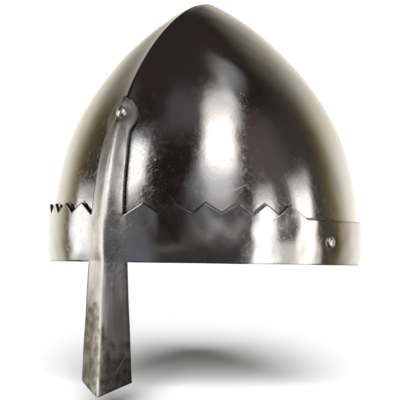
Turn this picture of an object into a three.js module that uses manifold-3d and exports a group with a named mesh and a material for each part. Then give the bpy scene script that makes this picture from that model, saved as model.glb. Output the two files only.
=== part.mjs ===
import * as THREE from "three";
import { mergeVertices } from "three/addons/utils/BufferGeometryUtils.js";
import Module from "manifold-3d";

// A pointed steel helmet: one keeled bowl, one sheet that is both the toothed
// brow band and the nose guard, and the three rivets that hold the two together.
// Lengths are millimetres. The nose guard is at -Y, the wearer's left is +X and
// up is +Z. The origin is the middle of the head opening, level with the rim.

// The bowl
const BOWL_HALF_WIDTH = 102.8;
const BOWL_HALF_LENGTH = 121.5;
const BOWL_HEIGHT = 181;
const BOWL_WALL = 1.6;
const WIDTH_FALL = 2.7;
const WIDTH_ROUNDING = 0.95;
const LENGTH_FALL = 2.4;
const LENGTH_ROUNDING = 0.625;
const KEEL_FRONT = 7;
const KEEL_BACK = 4.5;
const KEEL_SPREAD = 14;
const RIM_TUCK = 1.2;
const RIM_TUCK_HEIGHT = 16;

// The brow band and the strip that climbs from it
const SHEET = 2;
const SHEET_GAP = 0.4;
const TOOTH_TOP = 38.5;
const TOOTH_ROOT = 31.8;
const STRIP_FOOT = 30.1;
const BAND_BACK = 29.4;

// The hand-cut teeth of one side: the turn of each tip, and of the root behind it
const TEETH = [
  { tip: 13.6, root: 19.5 },
  { tip: 24.3, root: 31.1 },
  { tip: 35.3, root: 41.2 },
  { tip: 46.8, root: 52.4 },
  { tip: 57.2, root: 62.3 },
  { tip: 66.8, root: 74.1 },
];

// The nose guard below the rim
const NASAL_CORNER_DROP = 78;
const NASAL_TIP_DROP = 88;
const NASAL_HALF_FOOT = 19;
const NASAL_LEAN = 3.2;
const NASAL_FACET_SLOPE = 0.485;
const NASAL_FACET_START = 0.5;

// The rivets
const RIVET_RADIUS = 2.5;
const RIVET_HOLE_RADIUS = 2.8;
const RIVET_HEAD_RADIUS = 4.1;
const RIVET_HEAD_RISE = 2.3;
const RIVET_TAIL_RADIUS = 3.8;
const RIVET_TAIL_RISE = 1.8;
const RIVET_SEAT_GAP = 0.3;
const RIVET_SKIRT = 3;
const DRILL_REACH = 8;
const NASAL_RIVET_HEIGHT = 97.7;
const SIDE_RIVET_HEIGHT = 15;
const SIDE_RIVET_TURN = 86;
const SEAT_SPAN_HEIGHT = 2;
const SEAT_SPAN_TURN = 1;

// The strip up the ridge and the spade that ends it round the nasal rivet
const STRIP_HALF_RIM = 14.4;
const STRIP_HALF_FOOT = 12.2;
const SPADE_HALF = 11.3;
const NECK_UNDER_RIVET = 12.9;
const POINT_OVER_RIVET = 10.6;
const STRIP_NECK = NASAL_RIVET_HEIGHT - NECK_UNDER_RIVET;
const SPADE_POINT = NASAL_RIVET_HEIGHT + POINT_OVER_RIVET;

// Half widths up the strip, as shares of its climb and of its half width at the foot
const STRIP = [
  { rise: 0.22, half: 0.951 },
  { rise: 0.455, half: 0.893 },
  { rise: 0.693, half: 0.828 },
  { rise: 0.876, half: 0.746 },
  { rise: 1, half: 0.697 },
];

// Half widths up the spade, as shares of its length and of its greatest half width
const SPADE = [
  { rise: 0.136, half: 0.867 },
  { rise: 0.306, half: 1 },
  { rise: 0.57, half: 0.938 },
  { rise: 0.74, half: 0.743 },
  { rise: 0.881, half: 0.434 },
];

// Divisions of the surfaces
const REAR_STEPS = 18;
const MIDDLE_SHARES = [-1, -0.66, -0.33, 0, 0.33, 0.66, 1];
const BAND_SHARES = [0, 0.25, 0.5, 0.75, 1];
const NASAL_SHARES = [0.12, 0.34, 0.56, 0.78, 1];
const BOWL_SHARES = [0, 0.09, 0.18, 0.28, 0.38, 0.475, 0.56, 0.635, 0.705, 0.765, 0.82, 0.865, 0.905,
  0.94, 0.968, 0.989];
const KEEL_TURNS = [2.3, 4.8, 8.2];
const ROUND_STEPS = 16;
const DOME_STEPS = 4;

const radians = THREE.MathUtils.degToRad;
const lerp = THREE.MathUtils.lerp;

// Half width and half length of the bowl at a height: each falls from the rim's
// to nothing at the apex, and both draw in a little at the very rim.
function bowlHalves(height) {
  const s = Math.max(height, 0) / BOWL_HEIGHT;
  const low = Math.max(0, 1 - height / RIM_TUCK_HEIGHT);
  const tuck = RIM_TUCK * low * low;
  return {
    width: BOWL_HALF_WIDTH * (1 - s ** WIDTH_FALL) ** WIDTH_ROUNDING - tuck,
    length: BOWL_HALF_LENGTH * (1 - s ** LENGTH_FALL) ** LENGTH_ROUNDING - tuck,
  };
}

// How far the bowl reaches to the front (side = -1) or back (side = 1) at x: an
// ellipse with a keel that dies away to both sides of the middle.
function bowlReach(x, height, side) {
  const { width, length } = bowlHalves(height);
  const share = length / BOWL_HALF_LENGTH;
  const keel = share * (side < 0 ? KEEL_FRONT : KEEL_BACK);
  const spread = (KEEL_SPREAD * width) / BOWL_HALF_WIDTH;
  const body = length - share * KEEL_FRONT;
  const across = Math.min(1, Math.abs(x) / width);
  return side * Math.sqrt(1 - across * across) * (body + keel * Math.exp(-Math.abs(x) / spread));
}

// The point of the bowl at a turn from the front, in degrees, and a height.
function bowlPoint(turn, height) {
  const x = bowlHalves(height).width * Math.sin(radians(turn));
  const y = bowlReach(x, height, Math.cos(radians(turn)) > 0 ? -1 : 1);
  return new THREE.Vector3(x, y, height);
}

// The point of the sheet's middle at x and a height: on the bowl above the rim,
// and on two flat facets that lean outwards below it.
function middlePoint(x, height) {
  if (height >= 0) return new THREE.Vector3(x, bowlReach(x, height, -1), height);
  const depth = -height / NASAL_TIP_DROP;
  const ridge = bowlReach(0, 0, -1) - NASAL_LEAN * depth;
  const band = bowlReach(x, 0, -1) - bowlReach(0, 0, -1);
  const facet = NASAL_FACET_SLOPE * Math.abs(x);
  const flat = Math.min(1, depth / NASAL_FACET_START);
  return new THREE.Vector3(x, ridge + lerp(band, facet, flat), height);
}

// Unit normal and mitre length at each point of a surface of triangles.
function mitredNormals(points, faces) {
  const sums = points.map(() => new THREE.Vector3());
  const corners = points.map(() => []);
  for (const face of faces) {
    const [a, b, c] = face.map((i) => points[i]);
    const normal = new THREE.Triangle(a, b, c).getNormal(new THREE.Vector3());
    face.forEach((index, k) => {
      const here = points[index];
      const next = points[face[(k + 1) % 3]].clone().sub(here);
      const last = points[face[(k + 2) % 3]].clone().sub(here);
      const angle = next.angleTo(last);
      sums[index].addScaledVector(normal, angle);
      corners[index].push({ normal, angle });
    });
  }
  return sums.map((sum, i) => {
    const normal = sum.clone().normalize();
    const whole = corners[i].reduce((total, corner) => total + corner.angle, 0);
    const along = corners[i].reduce((total, corner) => total + corner.angle * corner.normal.dot(normal), 0);
    return normal.multiplyScalar(whole / along);
  });
}

// A closed sheet between two distances from a surface of triangles, with a wall
// along each edge that only one triangle has.
function sheetSolid(surface, from, to) {
  const { points, faces } = surface;
  const normals = mitredNormals(points, faces);
  const low = points.map((p, i) => p.clone().addScaledVector(normals[i], from));
  const high = points.map((p, i) => p.clone().addScaledVector(normals[i], to));
  const count = points.length;
  const closed = faces.map(([a, b, c]) => [a + count, b + count, c + count]);
  closed.push(...faces.map(([a, b, c]) => [c, b, a]));
  const edges = new Set(faces.flatMap(([a, b, c]) => [`${a},${b}`, `${b},${c}`, `${c},${a}`]));
  for (const edge of edges) {
    const [a, b] = edge.split(",").map(Number);
    if (edges.has(`${b},${a}`)) continue;
    closed.push([a, b, b + count], [a, b + count, a + count]);
  }
  const geometry = new THREE.BufferGeometry().setFromPoints([...low, ...high]);
  geometry.setIndex(closed.flat());
  return solidOf(geometry);
}

const wasm = await Module();
wasm.setup();

// A closed three.js geometry as a solid that can be cut and joined.
function solidOf(geometry) {
  const bare = geometry.clone();
  bare.deleteAttribute("normal");
  bare.deleteAttribute("uv");
  const merged = mergeVertices(bare, 1e-4);
  return new wasm.Manifold(
    new wasm.Mesh({
      numProp: 3,
      vertProperties: merged.attributes.position.array,
      triVerts: new Uint32Array(merged.index.array),
    }),
  );
}

// A solid as a named mesh with its own steel.
function steelMesh(name, solid, color, roughness) {
  const { vertProperties, triVerts } = solid.getMesh();
  const geometry = new THREE.BufferGeometry();
  geometry.setAttribute("position", new THREE.BufferAttribute(vertProperties, 3));
  geometry.setIndex(new THREE.BufferAttribute(triVerts, 1));
  geometry.computeVertexNormals();
  const material = new THREE.MeshStandardMaterial({ color, roughness, metalness: 1, flatShading: true });
  const mesh = new THREE.Mesh(geometry, material);
  mesh.name = name;
  return mesh;
}

// Turns of the columns round the helmet from the strip to the middle of the back:
// first the tips and roots of the teeth, then equal steps.
const lastRoot = TEETH.at(-1).root;
const sideColumns = TEETH.flatMap(({ tip, root }) => [
  { turn: tip, top: TOOTH_TOP },
  { turn: root, top: root < lastRoot ? TOOTH_ROOT : BAND_BACK },
]);
for (let i = 1; i < REAR_STEPS; i += 1) {
  sideColumns.push({ turn: lastRoot + ((180 - lastRoot) * i) / REAR_STEPS, top: BAND_BACK });
}

// The bowl's surface: rings of points from the rim up, closed by the apex.
function bowlSurface() {
  const side = [...KEEL_TURNS, ...sideColumns.map((column) => column.turn)];
  const turns = [0, ...side, 180, ...side.map((turn) => -turn).reverse()];
  const points = BOWL_SHARES.flatMap((share) => turns.map((turn) => bowlPoint(turn, share * BOWL_HEIGHT)));
  const apex = points.push(new THREE.Vector3(0, 0, BOWL_HEIGHT)) - 1;
  const faces = [];
  const lastRing = BOWL_SHARES.length - 1;
  for (let ring = 0; ring <= lastRing; ring += 1) {
    for (let k = 0; k < turns.length; k += 1) {
      const a = ring * turns.length + k;
      const b = ring * turns.length + ((k + 1) % turns.length);
      if (ring === lastRing) faces.push([a, b, apex]);
      else faces.push([a, b, b + turns.length], [a, b + turns.length, a + turns.length]);
    }
  }
  return { points, faces };
}

// The sheet's surface: the band's columns to both sides, the strip up to the
// spade's point and the nose guard down to its tip, all sharing their edges.
function browSurface() {
  const points = [];
  const faces = [];
  const add = (point) => points.push(point) - 1;
  const quad = (a, b, c, d) => faces.push([a, b, c], [a, c, d]);
  const join = (left, right) => {
    for (let k = 0; k + 1 < left.length; k += 1) quad(left[k], right[k], right[k + 1], left[k + 1]);
  };
  // One row of points across the middle, from the wearer's right to the left
  const row = (height, half) =>
    MIDDLE_SHARES.map((share) => add(middlePoint(share * half, height(share))));
  const bandRows = BAND_SHARES.map((share) =>
    row(() => share * STRIP_FOOT, lerp(STRIP_HALF_RIM, STRIP_HALF_FOOT, share)));
  const stripRows = STRIP.map(({ rise, half }) =>
    row(() => lerp(STRIP_FOOT, STRIP_NECK, rise), half * STRIP_HALF_FOOT));
  const spadeRows = SPADE.map(({ rise, half }) =>
    row(() => lerp(STRIP_NECK, SPADE_POINT, rise), half * SPADE_HALF));
  const nasalRows = NASAL_SHARES.map((share) =>
    row(
      (across) => -share * lerp(NASAL_TIP_DROP, NASAL_CORNER_DROP, Math.abs(across)),
      lerp(STRIP_HALF_RIM, NASAL_HALF_FOOT, share),
    )).reverse();
  const rows = [...nasalRows, ...bandRows, ...stripRows, ...spadeRows];

  // Each four-cornered patch splits the same way on both sides of the ridge
  for (let k = 0; k + 1 < rows.length; k += 1) {
    for (let i = 0; i + 1 < MIDDLE_SHARES.length; i += 1) {
      const [a, b, c, d] = [rows[k][i], rows[k][i + 1], rows[k + 1][i + 1], rows[k + 1][i]];
      if (MIDDLE_SHARES[i] < 0) quad(b, c, d, a);
      else quad(a, b, c, d);
    }
  }
  const point = add(middlePoint(0, SPADE_POINT));
  const lastRow = rows.at(-1);
  for (let i = 0; i + 1 < lastRow.length; i += 1) faces.push([lastRow[i], lastRow[i + 1], point]);

  // The band's columns on each side, ending at the middle of the back
  const column = (turn, top) => BAND_SHARES.map((share) => add(bowlPoint(turn, share * top)));
  const back = column(180, BAND_BACK);
  let left = bandRows.map((indices) => indices.at(-1));
  let right = bandRows.map((indices) => indices[0]);
  for (const { turn, top } of sideColumns) {
    const nextLeft = column(turn, top);
    const nextRight = column(-turn, top);
    join(left, nextLeft);
    join(nextRight, right);
    left = nextLeft;
    right = nextRight;
  }
  join(left, back);
  join(back, right);
  return { points, faces };
}

const bowlFace = bowlSurface();
const browFace = browSurface();
const drilledBowl = sheetSolid(bowlFace, -BOWL_WALL, 0);
const sheet = sheetSolid(browFace, SHEET_GAP, SHEET_GAP + SHEET);

// Room kept round the finished sheet and bowl, so that rivet heads follow them
const aroundSheet = sheetSolid(browFace, -BOWL_WALL, SHEET_GAP + SHEET + RIVET_SEAT_GAP);
const aroundBowl = sheetSolid(bowlFace, -BOWL_WALL - RIVET_SEAT_GAP, SHEET);

// A turned shape on the Z axis, moved to a point and turned to a direction.
function turnedSolid(profile, place, direction) {
  const geometry = new THREE.LatheGeometry(profile.map(([r, z]) => new THREE.Vector2(r, z)), ROUND_STEPS);
  const turn = new THREE.Quaternion().setFromUnitVectors(new THREE.Vector3(0, 1, 0), direction);
  geometry.applyQuaternion(turn);
  geometry.translate(place.x, place.y, place.z);
  return solidOf(geometry);
}

// A domed profile from the axis out to its radius and down to its foot.
function dome(radius, rise, base, foot) {
  const arc = Array.from({ length: DOME_STEPS }, (_, i) => {
    const angle = (i * Math.PI) / 2 / DOME_STEPS;
    return [radius * Math.cos(angle), base + rise * Math.sin(angle)];
  });
  return [[0, foot], [radius, foot], ...arc, [0, base + rise]];
}

// A rivet through the sheet and the bowl: its domed head outside and its hammered
// tail inside, each shaped to the metal that it clamps, and a shank that ends half
// way up each dome.
function rivet(place, direction) {
  const top = SHEET_GAP + SHEET + RIVET_SEAT_GAP;
  const under = BOWL_WALL + RIVET_SEAT_GAP;
  const inward = direction.clone().negate();
  const headProfile = dome(RIVET_HEAD_RADIUS, RIVET_HEAD_RISE, top, top - RIVET_SKIRT);
  const tailProfile = dome(RIVET_TAIL_RADIUS, RIVET_TAIL_RISE, under + RIVET_SEAT_GAP, under - BOWL_WALL);
  const head = turnedSolid(headProfile, place, direction).subtract(aroundSheet);
  const tail = turnedSolid(tailProfile, place, inward).subtract(aroundBowl);
  const lowest = -under - RIVET_SEAT_GAP - RIVET_TAIL_RISE / 2;
  const shank = turnedSolid(bar(RIVET_RADIUS, lowest, top + RIVET_HEAD_RISE / 2), place, direction);
  return shank.add(head).add(tail);
}

// The profile of a plain round bar between two places along its axis.
function bar(radius, from, to) {
  return [[0, from], [radius, from], [radius, to], [0, to]];
}

function drill(place, direction) {
  return turnedSolid(bar(RIVET_HOLE_RADIUS, -DRILL_REACH, DRILL_REACH), place, direction);
}

// The place of a rivet on the bowl and the direction straight out of it there.
function seat(turn, height) {
  const place = bowlPoint(turn, height);
  const up = bowlPoint(turn, height + SEAT_SPAN_HEIGHT).sub(bowlPoint(turn, height - SEAT_SPAN_HEIGHT));
  const along = bowlPoint(turn + SEAT_SPAN_TURN, height).sub(bowlPoint(turn - SEAT_SPAN_TURN, height));
  return [place, along.cross(up).normalize()];
}

const seats = {
  nasal_rivet: seat(0, NASAL_RIVET_HEIGHT),
  side_rivet_left: seat(SIDE_RIVET_TURN, SIDE_RIVET_HEIGHT),
  side_rivet_right: seat(-SIDE_RIVET_TURN, SIDE_RIVET_HEIGHT),
};
const drills = Object.values(seats).map(([place, direction]) => drill(place, direction));
const cut = (solid) => drills.reduce((left, hole) => left.subtract(hole), solid);

const helmet = new THREE.Group();
helmet.name = "nasal_helmet";
helmet.add(steelMesh("skull", cut(drilledBowl), 0x8c8982, 0.28));
helmet.add(steelMesh("brow_band_nasal", cut(sheet), 0x86847f, 0.3));
for (const [name, [place, direction]] of Object.entries(seats)) {
  helmet.add(steelMesh(name, rivet(place, direction), 0x9a9891, 0.34));
}

export default helmet;
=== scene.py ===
# %% [markdown]
# # A pointed steel helmet with a nose guard
#
# The helmet is a keeled bowl of thin sheet steel with a second sheet round its foot. The second
# sheet is three things in one: a brow band with a saw-toothed upper edge, a strip that climbs the
# keel to a spade-shaped end, and the nose guard that hangs below the rim. Three round-headed
# rivets hold the two sheets together.
#
# The frame holds these pieces as plain solids at their real size. This lesson lays a finished
# surface over each of them: smooth where the solid has facets, with the soft edges, small dents
# and polish that a smith leaves. Nothing is moved or resized, so every number below is the real
# helmet's. Lengths are millimetres until a mesh is made, and metres from there on.

# %% Load the frame
import math
import bpy
import numpy as np
from mathutils import Matrix, Vector


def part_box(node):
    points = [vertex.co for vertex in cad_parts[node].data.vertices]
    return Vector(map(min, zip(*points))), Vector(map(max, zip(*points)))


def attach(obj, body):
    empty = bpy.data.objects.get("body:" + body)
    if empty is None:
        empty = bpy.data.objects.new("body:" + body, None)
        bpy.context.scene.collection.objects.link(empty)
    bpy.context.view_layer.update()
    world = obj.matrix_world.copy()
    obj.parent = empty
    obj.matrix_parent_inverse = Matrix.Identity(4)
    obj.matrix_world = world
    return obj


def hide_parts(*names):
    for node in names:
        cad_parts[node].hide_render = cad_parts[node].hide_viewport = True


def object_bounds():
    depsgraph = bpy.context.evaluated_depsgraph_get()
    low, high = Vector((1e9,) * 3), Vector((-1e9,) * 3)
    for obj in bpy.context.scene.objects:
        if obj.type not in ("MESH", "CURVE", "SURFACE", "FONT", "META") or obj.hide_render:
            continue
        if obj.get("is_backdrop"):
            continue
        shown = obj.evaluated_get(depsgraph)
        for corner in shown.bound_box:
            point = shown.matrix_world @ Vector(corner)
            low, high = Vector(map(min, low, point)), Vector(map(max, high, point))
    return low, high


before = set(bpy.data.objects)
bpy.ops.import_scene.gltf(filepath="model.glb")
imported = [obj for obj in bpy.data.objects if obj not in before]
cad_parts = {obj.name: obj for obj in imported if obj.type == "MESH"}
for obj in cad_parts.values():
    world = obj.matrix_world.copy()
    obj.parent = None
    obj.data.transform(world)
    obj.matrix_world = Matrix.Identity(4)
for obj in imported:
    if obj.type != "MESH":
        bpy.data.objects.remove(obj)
frame_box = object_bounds()
MM = 0.001
print("frame:", sorted(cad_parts), "from", frame_box[0], "to", frame_box[1])

# %% [markdown]
# ## The camera
#
# The photograph looks at the helmet from its wearer's left, 33 degrees round from the nose guard
# and level with the rim. A long lens far away keeps the ellipse of the rim flat, as the
# photograph does. The camera stands there and aims at a point beside the helmet's axis; the slight
# roll is the photographer's own, because the rim is not quite level in the picture. Its distances
# are in metres, as the frame's are.

# %% Camera
VIEW_TURN = math.radians(33)
EYE_DISTANCE = 1.5
LENS = 193.8
ROLL = math.radians(0.84)
AIM_ASIDE = -0.0045
AIM_HEIGHT = 0.0438
FAR_END = 100

eye = EYE_DISTANCE * Vector((math.sin(VIEW_TURN), -math.cos(VIEW_TURN), 0))
aim = AIM_ASIDE * Vector((math.cos(VIEW_TURN), math.sin(VIEW_TURN), 0)) + Vector((0, 0, AIM_HEIGHT))
camera = bpy.data.objects.new("camera", bpy.data.cameras.new("camera"))
camera.data.lens = LENS
camera.data.clip_end = FAR_END
turned = (aim - eye).to_track_quat("-Z", "Y").to_matrix().to_4x4()
camera.matrix_world = Matrix.Translation(eye) @ turned @ Matrix.Rotation(ROLL, 4, "Z")
bpy.context.scene.collection.objects.link(camera)
bpy.context.scene.camera = camera
print("camera at", eye, "aimed at", aim)

# %% [markdown]
# ## Shader maths as plain Python
#
# A node tree is a sum written with boxes and wires. Drawing it by hand hides the sum, so this
# lesson wraps a node's output in a small class: adding or multiplying two of them adds the Math
# node that does it. Everything else, such as a noise, comes from one method that takes the node's
# type, its settings and what goes into its sockets.

# %% A wire that can be reckoned with
class Wire:
    """One output of a node, which sums treat as a number."""

    def __init__(self, socket):
        self.socket = socket

    @classmethod
    def node(cls, tree, kind, settings=None, inputs=None, output=0):
        """A new node of a kind: its settings go in first, then the values or wires of its inputs."""
        made = tree.nodes.new(kind)
        for name, value in (settings or {}).items():
            setattr(made, name, value)
        for name, value in (inputs or {}).items():
            if isinstance(value, cls):
                tree.links.new(value.socket, made.inputs[name])
            else:
                made.inputs[name].default_value = value
        return cls(made.outputs[output]) if len(made.outputs) else None

    def other(self, output):
        """Another output of the same node."""
        return Wire(self.socket.node.outputs[output])

    def math(self, operation, *values):
        """This output and up to two more values through one Math node."""
        inputs = dict(enumerate([self, *values]))
        return Wire.node(self.socket.id_data, "ShaderNodeMath", {"operation": operation}, inputs)

    def __add__(self, value):
        return self.math("ADD", value)

    def __mul__(self, value):
        return self.math("MULTIPLY", value)

    def __sub__(self, value):
        return self.math("SUBTRACT", value)

    def __truediv__(self, value):
        return self.math("DIVIDE", value)

    def __rsub__(self, value):
        inputs = {0: value, 1: self}
        return Wire.node(self.socket.id_data, "ShaderNodeMath", {"operation": "SUBTRACT"}, inputs)

    __radd__ = __add__
    __rmul__ = __mul__

    def rise(self, start, end):
        """0 before start and 1 past end, with a soft step between; it falls where start is larger."""
        settings = {"interpolation_type": "SMOOTHSTEP"}
        inputs = {"Value": self, "From Min": start, "From Max": end}
        return Wire.node(self.socket.id_data, "ShaderNodeMapRange", settings, inputs)

    def colours(self, first, second):
        """The first colour where this is 0 and the second where it is 1."""
        inputs = {0: self, 6: first, 7: second}
        return Wire.node(self.socket.id_data, "ShaderNodeMix", {"data_type": "RGBA"}, inputs, 2)

    def vector(self, operation, value, output=0):
        """This vector and another through one Vector Math node."""
        tree, settings = self.socket.id_data, {"operation": operation}
        return Wire.node(tree, "ShaderNodeVectorMath", settings, {0: self, 1: value}, output)


print("besides sums, a wire has:", [name for name in vars(Wire) if name[0] != "_"])

# %% [markdown]
# ## What the steel mirrors
#
# Polished steel has next to no colour of its own: it shows the room. So the room is the first
# finish of all. A photographer lights a helmet with a tall softbox, a narrower one on the other
# side of the lens, a pale backdrop behind it, and leaves the rest of the room dark, which gives the
# deep browns and blacks between the highlights. Lamps would do for the softboxes, but their edges
# are hard, and a softbox glows most in its middle. So everything is painted on the world by
# direction. Each row is a soft-edged upright patch: its turn round the room (0 is where the nose
# guard points) and its half width, its lowest and highest elevation, all in degrees, and how far it
# leans to the right as it rises. A row covers the ones before it.

# %% Room
SURROUNDINGS = (
    # turn, half width, softness of the sides, low, high, softness of foot and top, lean, colour
    # the table in front, and its brighter places
    (40, 62, 24, -34, 1, 9, 0, (0.06, 0.056, 0.055)),
    (54, 17, 13, -2, 12, 5, 0, (0.14, 0.13, 0.13)),
    (57, 10, 9, 6, 13, 4, 0, (0.6, 0.6, 0.6)),
    (-6, 9, 13, -34, 10, 7, 0, (0.18, 0.19, 0.22)),
    (20, 10, 9, -7, -1, 2, 0, (0.14, 0.125, 0.12)),
    # the dim wall to the right, up to the backdrop
    (125, 22, 18, -34, 46, 14, 0, (0.06, 0.05, 0.042)),
    (98, 14, 12, -34, 46, 12, 0, (0.125, 0.1, 0.1)),
    # the light round the tall softbox, a lighter streak of ceiling, and the softbox itself
    (40, 34, 9, 44, 68, 9, 0, (0.1, 0.1, 0.105)),
    (120, 17, 10, 60, 74, 6, 0, (0.34, 0.34, 0.34)),
    (47, 16, 7, 14, 62, 8, 0.29, (0.3, 0.3, 0.31)),
    (51, 19, 8, 46, 65, 7, 0.29, (1.1, 1.1, 1.1)),
    (49, 8, 5, 14, 32, 6, 0.29, (0.85, 0.85, 0.86)),
    (49, 13, 7, 26, 52, 9, 0.29, (2.5, 2.5, 2.48)),
    # the low light on the ridge, and the narrower softbox to the left of the lens
    (-45, 24, 5, -34, 24, 7, 0, (1.7, 1.7, 1.68)),
    (-11, 12, 3, 12, 38, 6, 0, (2.8, 2.8, 2.8)),
    # the backdrop and its olive edge
    (212, 63, 12, -34, 36, 32, 0, (0.28, 0.22, 0.1)),
    (212, 46, 16, -34, 30, 30, 0, (1.2, 1.15, 1.02)),
    # low windows to the left and right
    (-77, 6, 3, -8, 11, 4, 0, (1.8, 1.8, 1.75)),
    (105, 26, 5, -34, 0, 4, 0, (0.9, 0.9, 0.88)),
    (89, 7.5, 3, -34, 14, 9, 0, (2.2, 2.2, 2.2)),
    (121, 8, 3, -34, 17, 9, 0, (2.2, 2.15, 2.1)),
)
DARK_ROOM = (0.019, 0.0115, 0.0105, 1)
CEILING = (0.042, 0.03, 0.028, 1)
CEILING_STARTS, CEILING_FULL = 50, 72

world = bpy.data.worlds.new("room")
world.use_nodes = True
bpy.context.scene.world = world
sky = world.node_tree
sky.nodes.clear()
way = Wire.node(sky, "ShaderNodeTexCoord", output="Generated")
east = Wire.node(sky, "ShaderNodeSeparateXYZ", inputs={0: way})
north = east.other(1)
up = east.other(2)


def patch(turn, half, soft, low, high, fade, lean):
    """How much of a patch a direction meets: a soft step of the cosine of its turn away from the
    patch's middle, which moves aside by lean times the rise, times soft steps at foot and top."""
    middle = math.radians(turn)
    ahead = east * math.sin(middle) - north * math.cos(middle)
    aside = east * math.cos(middle) + north * math.sin(middle) - up * lean
    nearness = ahead / (ahead * ahead + aside * aside).math("SQRT")
    edges = [math.cos(math.radians(half + side * soft)) for side in (1, -1)]
    foot = [math.sin(math.radians(low + side * fade)) for side in (-1, 1)]
    top = [math.sin(math.radians(high + side * fade)) for side in (1, -1)]
    return nearness.rise(*edges) * up.rise(*foot) * up.rise(*top)


ceiling = up.rise(math.sin(math.radians(CEILING_STARTS)), math.sin(math.radians(CEILING_FULL)))
glow = ceiling.colours(DARK_ROOM, CEILING)
for *place, colour in SURROUNDINGS:
    glow = patch(*place).colours(glow, (*colour, 1))
print("room:", len(SURROUNDINGS), "patches in", len(sky.nodes), "nodes")

# %% [markdown]
# ## The light on the floor
#
# Only the mirror sees the painted room. The eye of the camera sees plain white, and the floor gets a
# faint even light and one lamp: a low, wide sun behind the camera. It lays the helmet's soft shadow
# on the floor behind it, and stays out of the mirror, where it would be a hard white dot.

# %% Sun and white
CAMERA_WHITE = (1.05, 1.05, 1.05, 1)
FLOOR_GLOW = (0.09, 0.09, 0.09, 1)
SUN_TURN, SUN_RISE, SUN_SIZE = 33.7, 9.6, 9.8
SUN_STRENGTH, SUN_AWAY = 20.8, 3

ray = Wire.node(sky, "ShaderNodeLightPath", output="Is Glossy Ray")
seen = ray.other("Is Camera Ray").colours(ray.colours(FLOOR_GLOW, glow), CAMERA_WHITE)
background = Wire.node(sky, "ShaderNodeBackground", inputs={"Color": seen, "Strength": 1.0})
Wire.node(sky, "ShaderNodeOutputWorld", inputs={"Surface": background})

sun_data = bpy.data.lights.new("floor_sun", "SUN")
sun_data.energy = SUN_STRENGTH
sun_data.angle = math.radians(SUN_SIZE)
turn, rise = math.radians(SUN_TURN), math.radians(SUN_RISE)
sunward = Vector((math.sin(turn) * math.cos(rise), -math.cos(turn) * math.cos(rise), math.sin(rise)))
sun = bpy.data.objects.new("floor_sun", sun_data)
facing = (-sunward).to_track_quat("-Z", "Y").to_matrix().to_4x4()
sun.matrix_world = Matrix.Translation(SUN_AWAY * sunward) @ facing
sun.visible_glossy = False
bpy.context.scene.collection.objects.link(sun)
print("sun at", sunward)

# %% [markdown]
# ## A mesh from arrays
#
# Every piece below is a surface worked out with numpy: a grid of points, row by row, whose patches
# are four neighbouring corners. One helper counts the corners of the patches, and another puts
# points and faces into a mesh, turns millimetres into metres, and ties the piece to the frame.

# %% Grids and pieces
def grid_quads(rows, columns, closed=False):
    """The corners of each patch of a grid counted row by row; a closed grid joins its last column
    to its first."""
    index = np.arange(rows * columns).reshape(rows, columns)
    if closed:
        index = np.hstack([index, index[:, :1]])
    corners = [index[:-1, :-1], index[:-1, 1:], index[1:, 1:], index[1:, :-1]]
    return np.stack(corners, axis=-1).reshape(-1, 4)


def put_mesh(name, points, faces):
    """A smooth-shaded mesh object at the origin, from points in millimetres and lists of corners."""
    mesh = bpy.data.meshes.new(name)
    mesh.from_pydata((points * MM).tolist(), [], faces)
    mesh.polygons.foreach_set("use_smooth", np.ones(len(mesh.polygons), bool))
    mesh.update()
    piece = bpy.data.objects.new(name, mesh)
    bpy.context.scene.collection.objects.link(piece)
    return piece


def tie(piece, node):
    """The piece rides on the helmet's one body and stands for a frame node, which is hidden."""
    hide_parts(node)
    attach(piece, "root")
    print(piece.name, "has", len(piece.data.polygons), "faces and stands for", node)


print("a 3 by 4 grid has", len(grid_quads(3, 4)), "patches, and closed", len(grid_quads(3, 4, True)))

# %% [markdown]
# ## The floor
#
# The helmet hangs over a pale floor, with the tip of its nose guard just clear of it, and all that
# shows of the floor is the shadow. A backdrop that curves up would need its own light, but one flat
# square will do: it is so large that the camera never meets its edge, and the mirror does not see it.

# %% Floor
FLOOR_DROP = 105
FLOOR_HALF = 9000
FLOOR_PALE, FLOOR_ROUGHNESS = (0.9, 0.9, 0.9, 1), 0.9
corners = np.array([(-1, -1), (1, -1), (1, 1), (-1, 1)]) * FLOOR_HALF
floor = put_mesh("floor", np.column_stack([corners, np.full(4, -FLOOR_DROP)]), [[0, 1, 2, 3]])
floor.visible_glossy = False
floor_finish = bpy.data.materials.new("pale_floor")
floor_finish.use_nodes = True
floor_shader = floor_finish.node_tree.nodes["Principled BSDF"]
floor_shader.inputs["Base Color"].default_value = FLOOR_PALE
floor_shader.inputs["Roughness"].default_value = FLOOR_ROUGHNESS
floor.data.materials.append(floor_finish)
floor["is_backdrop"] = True
print("floor:", FLOOR_DROP, "mm below the rim")

# %% [markdown]
# ## The form of the bowl
#
# The bowl was raised from one sheet over a stake: wide and level at the rim, drawn in to a point,
# with a keel pressed up along the middle. It could be sculpted or subdivided from a cage, but a
# formula keeps it true to the frame at every height. The half width and half length fall from the
# rim to the apex, each with its own rounding, and the keel is a ridge that fades to both sides.

# %% Bowl formula
BOWL_HALF_WIDTH = 102.8
BOWL_HALF_LENGTH = 121.5
BOWL_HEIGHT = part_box("skull")[1].z / MM
WIDTH_FALL, WIDTH_ROUNDING = 2.7, 0.95
LENGTH_FALL, LENGTH_ROUNDING = 2.4, 0.625
KEEL_FRONT, KEEL_BACK, KEEL_SPREAD = 7, 4.5, 14
RIM_TUCK, RIM_TUCK_HEIGHT = 1.2, 16
BOWL_CREASE = 1.2
THIN = 1e-6  # keeps a division by a width of 0 safe


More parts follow.
